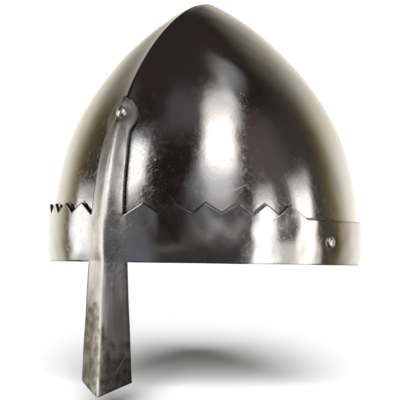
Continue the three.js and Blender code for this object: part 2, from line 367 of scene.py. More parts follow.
def bowl_halves(height):
    """Half width and half length at a height: the rim's, times (1 - s^fall)^rounding where s is the
    share of the bowl's height, less a tuck that dies away over the lowest stretch."""
    s = np.clip(height / BOWL_HEIGHT, 0, 1)
    tuck = RIM_TUCK * np.clip(1 - height / RIM_TUCK_HEIGHT, 0, 1) ** 2
    width = BOWL_HALF_WIDTH * (1 - s**WIDTH_FALL) ** WIDTH_ROUNDING - tuck
    length = BOWL_HALF_LENGTH * (1 - s**LENGTH_FALL) ** LENGTH_ROUNDING - tuck
    return np.maximum(width, THIN), np.maximum(length, THIN)


def softened(x, crease):
    """The distance from the middle, |x|, with the corner at 0 rounded off: sqrt(x^2 + c^2) - c."""
    return np.sqrt(x**2 + crease**2) - crease


def bowl_reach(x, height, side, crease):
    """How far the bowl reaches to the front (side = -1) or the back (side = 1) at x: an ellipse, whose
    length is the body's plus the keel's, and the keel fades as exp(-|x| / spread)."""
    width, length = bowl_halves(height)
    share = length / BOWL_HALF_LENGTH
    keel = share * np.where(side < 0, KEEL_FRONT, KEEL_BACK)
    spread = KEEL_SPREAD * width / BOWL_HALF_WIDTH
    fade = np.exp(-softened(x, crease * width / BOWL_HALF_WIDTH) / spread)
    round_off = np.sqrt(np.clip(1 - (x / width) ** 2, 0, 1))
    return side * round_off * (length - share * KEEL_FRONT + keel * fade)


def bowl(turn, height, crease=BOWL_CREASE):
    """The point of the bowl at a turn from the front, in degrees, and a height: x is the half width
    times the sine of the turn, and y is how far the bowl reaches there."""
    turn, height = np.broadcast_arrays(np.radians(turn), np.asarray(height, float))
    x = bowl_halves(height)[0] * np.sin(turn)
    y = bowl_reach(x, height, np.where(np.cos(turn) > 0, -1, 1), crease)
    return np.stack([x, y, height], axis=-1)


widest = bowl(90, 20)
print("bowl: apex at", round(BOWL_HEIGHT, 1), "mm, half width at 20 mm", widest[0].round(1), "mm")

# %% [markdown]
# ## Hammer marks
#
# A raised bowl is never a perfect form: planishing leaves shallow, soft dents that make a straight
# reflection wander. A noise texture could push the points, but a sum of cosine waves that run in
# seeded random directions is smooth, has no seams, and gives the same dents every time.

# %% Dents
SPACING_SPREAD = (0.7, 1.5)


def dents(points, spacing, seed, count=24):
    """Height of soft dents about a spacing apart: the sum of cosine waves in random directions through
    the points, scaled so that its typical size is 1."""
    rng = np.random.default_rng(seed)
    directions = rng.normal(size=(count, 3))
    directions /= np.linalg.norm(directions, axis=1, keepdims=True)
    waves = 2 * np.pi / (spacing * rng.uniform(*SPACING_SPREAD, count))
    starts = rng.uniform(0, 2 * np.pi, count)
    return np.cos(points @ (directions * waves[:, None]).T + starts).sum(axis=-1) * math.sqrt(2 / count)


sample = dents(bowl(np.arange(360), 60), 20, 1)
print("dents round the bowl: from", sample.min().round(2), "to", sample.max().round(2))

# %% [markdown]
# ## The bowl
#
# The shell is one closed skin: down the inside from the apex, round the filed edge of the rim, and
# up the outside. A Solidify modifier would do the same with less typing, but the inside of a real
# bowl is left dark and rough from the fire, so the skin carries a value that says which side it is.
# The columns stand closer together at the keel, where the form turns fastest.

# %% Faces of a closed skin
def closed_faces(rings, columns):
    """The faces of a skin whose rings close: the grid's patches, and a fan of triangles from the first
    and from the last ring to the two poles, which are counted after the grid's points."""
    first = np.arange(columns)
    following = np.roll(first, -1)
    last, poles = (rings - 1) * columns, rings * columns
    foot = np.column_stack([following, first, np.full(columns, poles)])
    top = np.column_stack([last + first, last + following, np.full(columns, poles + 1)])
    return [*grid_quads(rings, columns, True).tolist(), *foot.tolist(), *top.tolist()]


print("2 rings of 4 points close with", len(closed_faces(2, 4)), "faces")

# %% Bowl shell
BOWL_WALL = 1.6
APEX_WALL = 2.4
RINGS, COLUMNS = 112, 280
COLUMN_CROWDING = 0.8
RING_CROWDING = 1.6
# share of the way across the wall from the inside, and height above the rim
RIM_EDGE = {"across": (0, 0.075, 0.25, 0.75, 0.925, 1), "height": (0.4, 0.12, 0, 0, 0.12, 0.4)}
BOWL_DENTS = ({"spacing": 52, "deep": 0.2, "seed": 3}, {"spacing": 17, "deep": 0.028, "seed": 4})

lap = np.arange(COLUMNS) / COLUMNS
turns = np.degrees(2 * np.pi * lap - COLUMN_CROWDING / 2 * np.sin(4 * np.pi * lap))
climb = (1 - (1 - np.arange(1, RINGS) / RINGS) ** RING_CROWDING) * BOWL_HEIGHT
heights = np.concatenate([climb[::-1], RIM_EDGE["height"], climb])
outside = np.concatenate([np.zeros_like(climb), RIM_EDGE["across"], np.ones_like(climb)])

outer = bowl(turns[None, :], heights[:, None])
walls = np.array([BOWL_WALL, BOWL_WALL, APEX_WALL])
inner_share = 1 - walls / [BOWL_HALF_WIDTH, BOWL_HALF_LENGTH, BOWL_HEIGHT]
shell = outer * (inner_share + (1 - inner_share) * outside[:, None, None])
straight_out = shell / np.linalg.norm(shell, axis=-1, keepdims=True)
swell = sum(row["deep"] * dents(outer, row["spacing"], row["seed"]) for row in BOWL_DENTS)
shell = shell + straight_out * swell[..., None]

poles = np.array([[0, 0, BOWL_HEIGHT - APEX_WALL], [0, 0, BOWL_HEIGHT]])
poles += swell[[0, -1]].mean(axis=1)[:, None] * [0, 0, 1]
shell_points = np.vstack([shell.reshape(-1, 3), poles])
bowl_piece = put_mesh("bowl_shell", shell_points, closed_faces(len(heights), COLUMNS))
side_of_wall = np.concatenate([np.repeat(outside, COLUMNS), [0, 1]])
tie(bowl_piece, "skull")

# %% [markdown]
# ## The brow sheet
#
# The brow band, the strip and the nose guard were cut from one sheet, so they are one surface: a
# middle block that runs from the tip of the nose guard up to the point of the spade, and a block
# to each side that runs round to the back. All three share the rows where they meet. The teeth
# were sawn by hand, so their tips and roots stand at uneven turns.

# %% Outline of the sheet
SHEET = 2
SHEET_GAP = 0.4
STRIP_FOOT = 30.1
BAND_BACK = 29.4
TIP_HEIGHT, ROOT_HEIGHT = 38.5, 31.8
# turn of each tip and of the root behind it, in degrees from the front
TEETH = ((13.6, 19.5), (24.3, 31.1), (35.3, 41.2), (46.8, 52.4), (57.2, 62.3), (66.8, 74.1))
print(len(TEETH), "teeth to each side, up to", TEETH[-1][1], "degrees round")

# %% Strip and spade
STRIP_HALF_RIM = 14.4
STRIP_HALF_FOOT = 12.2
# half widths above the foot of the strip: the neck, the spade and its point
STRIP_OUTLINE = {
    "height": (42, 68, 78, 84.8, 88, 92, 98.2, 102.2, 105.5),
    "half": (11.6, 10.1, 9.1, 8.5, 9.8, 11.3, 10.6, 8.4, 4.9),
}
SPADE_POINT = 108.3
OUTLINE_SOFTNESS, OUTLINE_SAMPLES = 3.5, 15
CARRIED_ON = 20
FOOT_SPREAD = 0.9


def strip_half(height):
    """Half width of the strip and spade at a height: straight lines between the table's rows, carried
    on past both ends, whose corners are rounded off by a mean over a few millimetres."""
    height_of, half_at = STRIP_OUTLINE["height"], STRIP_OUTLINE["half"]
    slope = half_at[-1] / (SPADE_POINT - height_of[-1])
    known = [STRIP_FOOT - CARRIED_ON, *height_of, SPADE_POINT + CARRIED_ON]
    halves = [STRIP_HALF_FOOT + FOOT_SPREAD, *half_at, -CARRIED_ON * slope]
    offsets = np.linspace(-OUTLINE_SOFTNESS / 2, OUTLINE_SOFTNESS / 2, OUTLINE_SAMPLES)
    return np.interp(np.asarray(height)[..., None] + offsets, known, halves).mean(axis=-1)


print("half width of the strip at its neck and spade:", strip_half(np.array([84.8, 92])).round(1))

# %% Ridge and nose guard
# how round the ridge is, in mm, from the tip of the nose guard to the spade
RIDGE_ROUNDING = {"height": (-88, -40, -14, 6, 62, 108), "crease": (0.6, 0.9, 1.2, 1.8, 1.5, 1.1)}
NASAL_CORNER_DROP = 78
NASAL_TIP_DROP = 88
NASAL_HALF_FOOT = 19
NASAL_LEAN = 3.2
NASAL_FACET_SLOPE = 0.485
NASAL_FACET_START = 0.5
NASAL_FACET_BEND = 1.2


def ridge_crease(height):
    """How far the ridge's corner is rounded at a height: straight lines between the table's rows."""
    return np.interp(height, RIDGE_ROUNDING["height"], RIDGE_ROUNDING["crease"])


def middle(across, height, half, share_down):
    """A point of the middle block: on the bowl above the rim, and below it on two facets that lean
    outwards and bend a little more towards their edges, slope times |x|^bend; the band's curve turns
    into the facets over the upper half of the nose guard."""
    x = across * half
    crease = ridge_crease(height)
    on_bowl = bowl_reach(x, np.maximum(height, 0), -1, crease)
    ridge = bowl_reach(0.0, 0.0, -1, crease) - NASAL_LEAN * share_down
    curve = bowl_reach(x, 0.0, -1, crease) - bowl_reach(0.0, 0.0, -1, crease)
    bent = NASAL_HALF_FOOT * (softened(x, crease) / NASAL_HALF_FOOT) ** NASAL_FACET_BEND
    facet = NASAL_FACET_SLOPE * bent
    flat = np.clip(share_down / NASAL_FACET_START, 0, 1)
    hanging = ridge + curve + (facet - curve) * flat
    return np.stack([x, np.where(height < 0, hanging, on_bowl), height], axis=-1)


tip = middle(0.0, -NASAL_TIP_DROP, NASAL_HALF_FOOT, 1.0)
print("tip of the nose guard at", tip.round(1))

# %% Middle block
BAND_ROWS = 34
NASAL_ROWS = 84
CLIMB_ROWS = 82
MIDDLE_COLUMNS = 29
MIDDLE_CROWDING = 1.4

spots = np.linspace(-1, 1, MIDDLE_COLUMNS)
across = np.sign(spots) * np.abs(spots) ** MIDDLE_CROWDING
down = np.linspace(1, 0, NASAL_ROWS)[:-1, None]
rows_up = np.linspace(0, 1, BAND_ROWS)[:, None]
climbing = np.linspace(STRIP_FOOT, SPADE_POINT, CLIMB_ROWS)[1:, None]


def mixed(start, end, share):
    """The value a share of the way from start to end."""
    return start + (end - start) * share


nasal_drop = mixed(NASAL_TIP_DROP, NASAL_CORNER_DROP, np.abs(across))
nasal_height = -down * nasal_drop
nasal_half = mixed(STRIP_HALF_RIM, NASAL_HALF_FOOT, down)
nasal_points = middle(across, nasal_height, nasal_half, -nasal_height / NASAL_TIP_DROP)
band_half = mixed(STRIP_HALF_RIM, STRIP_HALF_FOOT, rows_up)
band_points = middle(across, STRIP_FOOT * rows_up + 0 * across, band_half, 0.0)
climb_half = strip_half(climbing[:, 0])[:, None] * (climbing < SPADE_POINT)
climb_points = middle(across, climbing + 0 * across, climb_half, 0.0)
middle_block = np.concatenate([nasal_points, band_points, climb_points])
lowest, highest = middle_block[..., 2].min(), middle_block[..., 2].max()
print("middle block:", middle_block.shape[:2], "from", lowest, "to", highest)

# %% Side blocks
TOOTH_STEP, REAR_STEP = 0.5, 1.6
RIVET_TURN, RIVET_HEIGHT = 86, 15
RIVET_STRETCH = 6

edge_turn = np.degrees(np.arcsin(band_half / bowl_halves(STRIP_FOOT * rows_up)[0]))
rivet_ends = [RIVET_TURN - RIVET_STRETCH, RIVET_TURN + RIVET_STRETCH]
knot_turn = [edge_turn[-1, 0], *np.ravel(TEETH), *rivet_ends, 180]
knot_top = [STRIP_FOOT, *len(TEETH) * (TIP_HEIGHT, ROOT_HEIGHT)][:-1] + 4 * [BAND_BACK]

columns = []
for start, end in zip(knot_turn, knot_turn[1:]):
    fine = start < TEETH[-1][1] or start == rivet_ends[0]
    steps = math.ceil((end - start) / (TOOTH_STEP if fine else REAR_STEP))
    columns.append(np.linspace(0, 1, steps, endpoint=False) + len(columns))
columns = np.append(np.concatenate(columns), len(columns))
column_turn = np.interp(columns, range(len(knot_turn)), knot_turn)
column_top = np.interp(columns, range(len(knot_top)), knot_top)
lead = np.clip(1 - columns, 0, 1)
side_turn = column_turn + (edge_turn - edge_turn[-1]) * lead
side_height = rows_up * column_top
left_block = bowl(side_turn, side_height, ridge_crease(side_height))
right_block = left_block * [-1, 1, 1]
print("side block:", left_block.shape[:2])

# %% [markdown]
# ## Joining the blocks and bending the sheet
#
# The three blocks meet in rows of points that lie in the same places, so welding is a matter of
# naming equal points once. Then the whole sheet is moved out along its normals: by the room that
# it keeps to the bowl, by the smith's dents, and where the photograph shows it, by a little more or
# less: the sawn edge lifts, some teeth spring off the bowl, and the sheet is drawn in round the
# rivets. A Solidify modifier then gives the sheet its thickness and a Bevel takes off the sharp
# corners, as a file does.

# %% Weld
STEPS_PER_MM = 100


def weld(blocks, quads):
    """One list of points for several grids: equal points, to a hundredth of a millimetre, count once.
    Gives the points, the corners of the patches, and which of the grids' points were kept."""
    points = np.concatenate([block.reshape(-1, 3) for block in blocks])
    starts = np.cumsum([0, *(block.shape[0] * block.shape[1] for block in blocks[:-1])])
    corners = np.concatenate([patches + start for patches, start in zip(quads, starts)])
    keys = np.round(points * STEPS_PER_MM).astype(int)
    kept, renamed = np.unique(keys, axis=0, return_index=True, return_inverse=True)[1:]
    return points[kept], renamed.reshape(-1)[corners], kept


def face_normals_at_points(points, quads):
    """Unit normals of the points: the cross products of the patches' diagonals, summed at corners."""
    a, b, c, d = (points[quads[:, k]] for k in range(4))
    across_patch = np.cross(c - a, d - b)
    total = np.zeros_like(points)
    for corner in quads.T:
        np.add.at(total, corner, across_patch)
    return total / np.maximum(np.linalg.norm(total, axis=1, keepdims=True), THIN)


side_quads = grid_quads(*side_turn.shape)
sheet_points, sheet_quads, kept = weld(
    [middle_block, left_block, right_block],
    [grid_quads(*middle_block.shape[:2]), side_quads, side_quads[:, ::-1]],
)
sheet_normals = face_normals_at_points(sheet_points, sheet_quads)
print("sheet:", len(sheet_points), "points and", len(sheet_quads), "patches after welding")

# %% Springs and dishes
SPRUNG = (
    # turn of the middle and how far it spreads, in degrees, and how far the edge stands off, in mm
    (42, 6, 1.0),
    (20, 4, 0.4),
    (-30, 9, 0.1),
    (-56, 8, 0.25),
)
LIFT_FROM, LIFT_FULL = 18, 38.5
EDGE_LIFT, STRIP_LIFT = 0.5, 0.22
DISH_DEEP, DISH_WIDE = 0.4, 6.6
NASAL_RIVET_HEIGHT = 97.7
SHEET_DENTS = ({"spacing": 44, "deep": 0.16, "seed": 8}, {"spacing": 13, "deep": 0.04, "seed": 9})


def hump(away, wide, power=2):
    """1 where away is 0, and dying away over a width: exp(-(away / wide)^power)."""
    return np.exp(-((away / wide) ** power))


def over_sheet(in_middle, on_left, on_right):
    """One value for each point of the welded sheet, from those of the three blocks."""
    return np.concatenate([in_middle.ravel(), on_left.ravel(), on_right.ravel()])[kept]


def distance_from(turn, height):
    """How far each point of the sheet is from a place on the bowl."""
    return np.linalg.norm(sheet_points - bowl(turn, height), axis=1)


flat_middle, flat_side = np.zeros(middle_block.shape[:2]), np.zeros(side_turn.shape)
point_turn = over_sheet(flat_middle, side_turn, -side_turn)
side_lift = np.clip((side_height - LIFT_FROM) / (LIFT_FULL - LIFT_FROM), 0, 1) ** 2
near_edge = over_sheet(flat_middle, side_lift, side_lift)
strip_edge = flat_middle.copy()
strip_edge[len(nasal_points) + len(band_points):] = np.abs(across) ** 6
strip_edge = over_sheet(strip_edge, flat_side, flat_side)
sprung = sum(off * hump(point_turn - turn, spread) for turn, spread, off in SPRUNG)
rivet_places = ((0, NASAL_RIVET_HEIGHT), (RIVET_TURN, RIVET_HEIGHT), (-RIVET_TURN, RIVET_HEIGHT))
dishes = sum(hump(distance_from(*place), DISH_WIDE, 4) for place in rivet_places)
planished = sum(row["deep"] * dents(sheet_points, row["spacing"], row["seed"]) for row in SHEET_DENTS)
steadied = np.clip(planished, -SHEET_GAP, None)
lifted = near_edge * (EDGE_LIFT + sprung) + STRIP_LIFT * strip_edge
moved_out = SHEET_GAP + lifted - DISH_DEEP * dishes + steadied
sheet_points = sheet_points + sheet_normals * moved_out[:, None]
print("sheet stands off the bowl by", moved_out.min().round(2), "to", moved_out.max().round(2), "mm")

# %% Brow sheet
EDGE_ROUND, EDGE_STEPS = 0.85, 2
SHARP_FROM = 50
pointed = sheet_quads[:, 2] == sheet_quads[:, 3]
sheet_faces = sheet_quads[~pointed].tolist() + sheet_quads[pointed][:, :3].tolist()
sheet_piece = put_mesh("brow_band_and_nose_guard", sheet_points, sheet_faces)
thicken = sheet_piece.modifiers.new("thickness", "SOLIDIFY")
thicken.thickness = SHEET * MM
thicken.offset = 1
thicken.use_even_offset = True
file_edges = sheet_piece.modifiers.new("filed edges", "BEVEL")
file_edges.width = EDGE_ROUND * MM
file_edges.segments = EDGE_STEPS
file_edges.limit_method = "ANGLE"
file_edges.angle_limit = math.radians(SHARP_FROM)
tie(sheet_piece, "brow_band_nasal")

# %% [markdown]
# ## Where the steel is brushed, darker, and painted with light and shade
#
# Some of the finish follows the form, so it is worked out here and stored on the points of the
# meshes. The strip and the nose guard were brushed lengthwise. The lower end of the guard is darker;
# on its two facets that begins at different heights, and the crest of its ridge keeps a light line,
# a painted highlight. A thin line of painted shade lies along the sheet's edges, round each rivet and
# in the gap beside the strip. An image could be painted instead, but numbers worked out from the
# outline lie exactly on it.

# %% Brushed and dulled places
BRUSHED_HALF = {"height": (-8, 4), "half": (30, 15)}
BRUSHED_FADE = 5
BRUSHED_MOST = {"height": (-14, 6, 40, 80), "share": (1, 0.6, 0.6, 1)}
DULL_FROM = {"x": (-1, 4), "height": (-26, -56)}
DULL_FADE = 26
PAINTED_CREST_LIGHT = 0.6


def keep_values(piece, name, values):
    """Store one number for each point of the piece's mesh, for its finish to look up."""
    piece.data.attributes.new(name, "FLOAT", "POINT").data.foreach_set("value", values)
    print(piece.name, "keeps", name, "from", values.min().round(2), "to", values.max().round(2))


sheet_x, sheet_y, sheet_z = sheet_points.T
in_front = sheet_y < 0
brushed_half = np.interp(sheet_z, BRUSHED_HALF["height"], BRUSHED_HALF["half"])
brushed = np.clip((brushed_half - np.abs(sheet_x)) / BRUSHED_FADE + 0.5, 0, 1) * in_front
brushed *= np.interp(sheet_z, BRUSHED_MOST["height"], BRUSHED_MOST["share"])
keep_values(sheet_piece, "brushed", brushed)

dull_height = np.interp(sheet_x, DULL_FROM["x"], DULL_FROM["height"])
dulled = np.clip((dull_height - sheet_z) / DULL_FADE + 0.5, 0, 1)
# less darkening on the crest of the ridge leaves a light line there: a painted highlight
keep_values(sheet_piece, "dulled", dulled * (1 - PAINTED_CREST_LIGHT * hump(sheet_x, 1)))

# %% Painted shade at the edges, round the rivets and beside the strip
SHADE_LINE_WIDE = 1.2
RING_AT, RING_WIDE = 4.5, 0.65
SEAM_AT, SEAM_WIDE = 0.5, 0.8


def from_sides(half):
    """How far the points of each row of the middle block are from the nearer end of the row."""
    return (1 - np.abs(across)) * half


edge_in_middle = np.concatenate([
    np.minimum(from_sides(nasal_half), (1 - down) * nasal_drop),
    np.full(band_points.shape[:2], SHADE_LINE_WIDE),
    from_sides(climb_half),
])
edge_beside = np.minimum(side_height, column_top - side_height)
to_edge = over_sheet(edge_in_middle, edge_beside, edge_beside)
# painted shade: a dark ring round each rivet and a dark line along the sheet's edges, kept as filed
ring_shade = sum(hump(distance_from(*place) - RING_AT, RING_WIDE) for place in rivet_places)
keep_values(sheet_piece, "filed", np.clip(1 - to_edge / SHADE_LINE_WIDE + ring_shade, 0, 1))

bowl_x, bowl_y, bowl_z = shell_points.T
# painted shade: a thin dark line on the bowl in the gap beside the strip
seam_shade = hump(np.abs(bowl_x) - strip_half(bowl_z) - SEAM_AT, SEAM_WIDE)
keep_values(bowl_piece, "seam_shade", seam_shade * (bowl_y < 0) * (bowl_z > STRIP_FOOT))
keep_values(bowl_piece, "outside", side_of_wall)

# %% [markdown]
# ## The rivets
#
# Each rivet is a turned shape: a domed head outside, a shank through both sheets and a flatter
# hammered tail inside. A lathe profile carried round an axis gives it, and two things make it
# hand-set: the profile's radius wavers as it goes round, and over the keel the head sags to both
# sides, so that it sits on the ridge as a soft rivet does when it is hammered down.

# %% One rivet
RIVET_HEAD, RIVET_HEAD_RISE = 4.1, 2.3
RIVET_SHANK = 2.5
RIVET_TAIL, RIVET_TAIL_RISE = 3.8, 1.8
RIVET_COLUMNS, DOME_RINGS = 56, 12
LIP_IN, LIP_UNDER = 0.2, 0.3
OVAL, THREE_SIDED = 0.035, 0.02
SAG_ROUND = 0.8
RIVET_DENTS = {"spacing": 4, "deep": 0.07}
NUDGE_TURN, NUDGE_HEIGHT = 1, 2


def rivet_profile():
    """Radius and height along the axis from the top of the head to the end of the tail: a quarter of
    an ellipse for each dome, joined by the straight shank. Gives the height of the seat too."""
    quarter = np.linspace(0, np.pi / 2, DOME_RINGS + 1)[1:]
    seat = SHEET_GAP + SHEET - DISH_DEEP
    head = np.stack([RIVET_HEAD * np.sin(quarter), seat + RIVET_HEAD_RISE * np.cos(quarter)], axis=1)
    tail_height = -BOWL_WALL - RIVET_TAIL_RISE * np.cos(quarter)
    tail = np.stack([RIVET_TAIL * np.sin(quarter), tail_height], axis=1)
    under, over = seat - LIP_UNDER, LIP_UNDER - BOWL_WALL
    lip = [[RIVET_HEAD - LIP_IN, under], [RIVET_SHANK, under]]
    foot = [[RIVET_SHANK, over], [RIVET_TAIL - LIP_IN, over]]
    return np.vstack([head, lip, foot, tail[::-1]]), seat


def rivet(place, sag, seed):
    """Points of a rivet: its profile carried round the straight line out of the bowl, with a radius
    that wavers as 1 + a cos(2 turn) + b cos(3 turn), and pulled down to both sides of the keel by the
    sag."""
    centre, (turn, height) = bowl(*place), place
    along = bowl(turn + NUDGE_TURN, height) - bowl(turn - NUDGE_TURN, height)
    rise = bowl(turn, height + NUDGE_HEIGHT) - bowl(turn, height - NUDGE_HEIGHT)
    out = np.cross(along, rise)
    along, rise, out = (axis / np.linalg.norm(axis) for axis in (along, rise, out))
    profile, seat = rivet_profile()
    round_it = np.arange(RIVET_COLUMNS) / RIVET_COLUMNS * 2 * np.pi
    waver = 1 + OVAL * np.cos(2 * round_it + seed)
    waver = waver + THREE_SIDED * np.cos(3 * round_it + 2 * seed)
    radius = profile[:, :1] * waver
    beside, above = radius * np.sin(round_it), radius * np.cos(round_it)
    deep = profile[:, 1:] - sag * softened(beside, SAG_ROUND)
    ring = centre + beside[..., None] * along + above[..., None] * rise + deep[..., None] * out
    ends = centre + np.outer([seat + RIVET_HEAD_RISE, -BOWL_WALL - RIVET_TAIL_RISE], out)
    points = np.vstack([ring.reshape(-1, 3), ends])
    return points + RIVET_DENTS["deep"] * dents(points, RIVET_DENTS["spacing"], seed)[:, None] * out


rings = len(rivet_profile()[0])
print("a rivet has", rings, "rings of", RIVET_COLUMNS, "points")

# %% Three rivets
RIVETS = (
    # node, place, how far the head sags over the keel, and the seed of its dents
    ("nasal_rivet", rivet_places[0], 0.42, 21),
    ("side_rivet_left", rivet_places[1], 0.0, 22),
    ("side_rivet_right", rivet_places[2], 0.0, 23),
)
rivet_pieces = []
for node, place, sag, seed in RIVETS:
    faces = closed_faces(rings, RIVET_COLUMNS)
    piece = put_mesh(node + "_set", rivet(place, sag, seed), faces)
    tie(piece, node)
    rivet_pieces.append(piece)

# %% [markdown]
# ## Satin steel
#
# The helmet was sanded and polished by hand, so its steel is bright but not a mirror: the highlights
# have soft edges, and a web of fine scratches in many directions lies over them. The colour of
# the metal wanders a little between cool and warm where oil and heat have tinted it. All of it is
# made from noise on Object coordinates, in the metal's real scale. A scratch is a noise that is
# squeezed to half a millimetre across one direction and left centimetres long along another.

# %% Noise in millimetres
MARKS = {
    # size in mm, detail, and the noise at which a mark starts and is full
    "tint": (38, 3.0, 0.38, 0.64),
    "mottle": (3.2, 3.0, 0.45, 0.75),
    "pits": (1.4, 1.0, 0.6, 0.72),
    "pitted": (26, 2.0, 0.5, 0.62),
}


def streaks(place, lean, across_size, along_size, detail=2.0):
    """Noise drawn out into streaks: coordinates are turned by lean, then divided by the size of a
    streak across its direction and along it."""
    tree = place.socket.id_data
    lean = [math.radians(angle) for angle in lean]
    size = (across_size * MM, across_size * MM, along_size * MM)
    inputs = {0: place, 2: lean, 3: size}
    turned = Wire.node(tree, "ShaderNodeMapping", {"vector_type": "TEXTURE"}, inputs)
    inputs = {"Vector": turned, "Scale": 1.0, "Detail": detail}
    return Wire.node(tree, "ShaderNodeTexNoise", None, inputs)


def cloud(place, size, detail=3.0):
    """Plain noise whose features are about a size in millimetres across."""
    inputs = {"Vector": place, "Scale": 1 / (size * MM), "Detail": detail}
    return Wire.node(place.socket.id_data, "ShaderNodeTexNoise", None, inputs)


def marks(place, name):
    """Where the steel has a mark of the table: its noise, stepped from none to full."""
    size, detail, start, full = MARKS[name]
    return cloud(place, size, detail).rise(start, full)


def kept_value(place, name):
    """A number that the piece keeps for each of its points."""
    settings = {"attribute_name": name}
    return Wire.node(place.socket.id_data, "ShaderNodeAttribute", settings, output="Fac")


print("marks in the steel, in mm:", {name: row[0] for name, row in MARKS.items()})

# %% Steel
FINE_SCRATCHES = (((0, 14, 20), 0.6, 26), ((0, 82, 35), 0.55, 18))
STROKES = (
    # lean in degrees, width and length in mm, and the noise at which a stroke starts and is full
    ((0, 38, 10), 0.8, 34, 0.68, 0.74),
    ((0, -52, 60), 0.7, 26, 0.69, 0.75),
)
WORN_SIZE, WAVE_SIZE = 24, 7
ROUGHER = {"worn": 0.08, "fine": 0.05, "lines": 0.06, "mottle": 0.07}
MICRON = MM / 1000
RAISED = {"fine": 3 * MICRON, "waves": 22 * MICRON, "lines": 5 * MICRON, "mottle": 8 * MICRON}
PIT_DEEP = 3 * MICRON


def steel(name, cool, warm, smoothness, details=None):
    """A polished steel: its colour wanders between a cool and a warm one, and its gloss and its relief
    follow the same clouds and scratches. The details of a piece may change all three."""
    finish = bpy.data.materials.new(name)
    finish.use_nodes = True
    tree = finish.node_tree
    shader = tree.nodes["Principled BSDF"]
    shader.inputs["Metallic"].default_value = 1.0
    place = Wire.node(tree, "ShaderNodeTexCoord", output="Object")

    colour = marks(place, "tint").colours(cool, warm)
    fine = streaks(place, *FINE_SCRATCHES[0]) + streaks(place, *FINE_SCRATCHES[1]) - 1.0
    worn = cloud(place, WORN_SIZE) - 0.5
    waves = cloud(place, WAVE_SIZE, 2.0) - 0.5
    mottle = marks(place, "mottle")
    pits = marks(place, "pits") * marks(place, "pitted")
    lines = [streaks(place, *shape, 0.0).rise(start, full) for *shape, start, full in STROKES]
    lines = lines[0] + lines[1]
    gloss = smoothness + worn * ROUGHER["worn"] + fine * ROUGHER["fine"]
    gloss = gloss + lines * ROUGHER["lines"] + mottle * ROUGHER["mottle"]
    relief = fine * RAISED["fine"] + waves * RAISED["waves"] - lines * RAISED["lines"]
    relief = relief - mottle * RAISED["mottle"] - pits * PIT_DEEP
    if details:
        colour, gloss, relief = details(place, colour, gloss, relief)
    heights = {"Height": relief, "Strength": 1.0, "Distance": 1.0}
    bump = Wire.node(tree, "ShaderNodeBump", None, heights)
    tree.links.new(gloss.socket, shader.inputs["Roughness"])
    tree.links.new(bump.socket, shader.inputs["Normal"])
    tree.links.new(colour.socket, shader.inputs["Base Color"])
    print(name, "has", len(tree.nodes), "nodes")
    return finish


rivet_steel = steel("rivet_steel", (0.66, 0.66, 0.65, 1), (0.64, 0.61, 0.57, 1), 0.3)
for piece in rivet_pieces:
    piece.data.materials.append(rivet_steel)

# %% [markdown]
# ## Single scratches
#
# A few scratches are deep enough to be seen one by one: a stroke beside the highlight, one high up on
# the bowl, a bent one near the keel, the place where the saw ran on past the root of a tooth, and a
# long one down the nose guard. They could be cut into the mesh, but it would need points finer than a
# scratch. So each is a groove in the relief, along a straight line between two places on the steel:
# a dot product finds the spot of the line nearest to a point, and the steel lies lower close to it.

# %% Scratches
BOWL_SCRATCHES = (
    # turn and height of both ends, width and depth in mm
    ((45.5, 47.5), (50.8, 51.5), 0.6, 0.018),
    ((53, 112.5), (58.8, 109), 0.8, 0.05),
    ((26.5, 83), (27.8, 93), 0.7, 0.04),
    ((27.8, 93), (30.8, 101), 0.7, 0.04),
)
SHEET_SCRATCHES = (
    # x and height of both ends, width and depth in mm
    ((92, 32.5), (89, 28), 0.9, 0.1),
    ((14.5, -62), (4, -83), 1.0, 0.07),
)
FAR_OFF = 1000


def on_sheet(x, height):
    """The point of the sheet's outer side nearest to an x and a height, on the front half."""
    off = np.hypot(sheet_x - x, sheet_z - height) + FAR_OFF * ~in_front
    return (sheet_points + SHEET * sheet_normals)[np.argmin(off)]


def groove(place, start, end, wide):
    """1 on the straight line between two places in mm, and 0 at half a width beside it."""
    tree = place.socket.id_data
    start, along = Vector(start) * MM, (Vector(end) - Vector(start)) * MM
    away = place.vector("SUBTRACT", start)
    share = away.vector("DOT_PRODUCT", along / along.length_squared, "Value")
    share = share.math("MAXIMUM", 0.0).math("MINIMUM", 1.0)
    inputs = {0: along, "Scale": share}
    nearest = Wire.node(tree, "ShaderNodeVectorMath", {"operation": "SCALE"}, inputs)
    return away.vector("DISTANCE", nearest, "Value").rise(wide * MM / 2, 0)


def scratched(place, relief, rows, at):
    """The relief with a groove cut for each row of a table, whose places a function finds."""
    for start, end, wide, deep in rows:
        relief = relief - groove(place, at(*start), at(*end), wide) * (deep * MM)
    return relief


for rows, at in ((BOWL_SCRATCHES, bowl), (SHEET_SCRATCHES, on_sheet)):
    print("scratches in mm:", [np.linalg.norm(at(*row[1]) - at(*row[0])).round(1) for row in rows])

# %% [markdown]
# ## Painted shade over the teeth
#
# A line of painted shade lies on the bowl in the step just over the sawn edge. Darkening all of the
# bowl's lowest stretch would miss the zigzag, so the height of the edge is read off a curve by how
# far a point is from the middle, and only a line just above it turns dark.

# %% Painted shade over the teeth
# the colour of the painted shade, on the bowl and on the sheet
PAINTED_SHADE = (0.03, 0.027, 0.024, 1)
CURVE_TOP = 50
LINE_FOOT, LINE_TOP = (0, 0.5), (2.0, 0.9)
FRONT_FADE = (0.004, -0.004)


def read_off(share, known, values):
    """A value read off a curve of straight lines through points; shares and values are 0 to 1."""
    wire = Wire.node(share.socket.id_data, "ShaderNodeFloatCurve", None, {"Value": share})
    mapping = wire.socket.node.mapping
    line = mapping.curves[0]
    for k, spot in enumerate(zip(known, values)):
        point = line.points[k] if k < 2 else line.points.new(*spot)
        point.location = spot
    for point in line.points:
        point.handle_type = "VECTOR"
    mapping.update()
    return wire


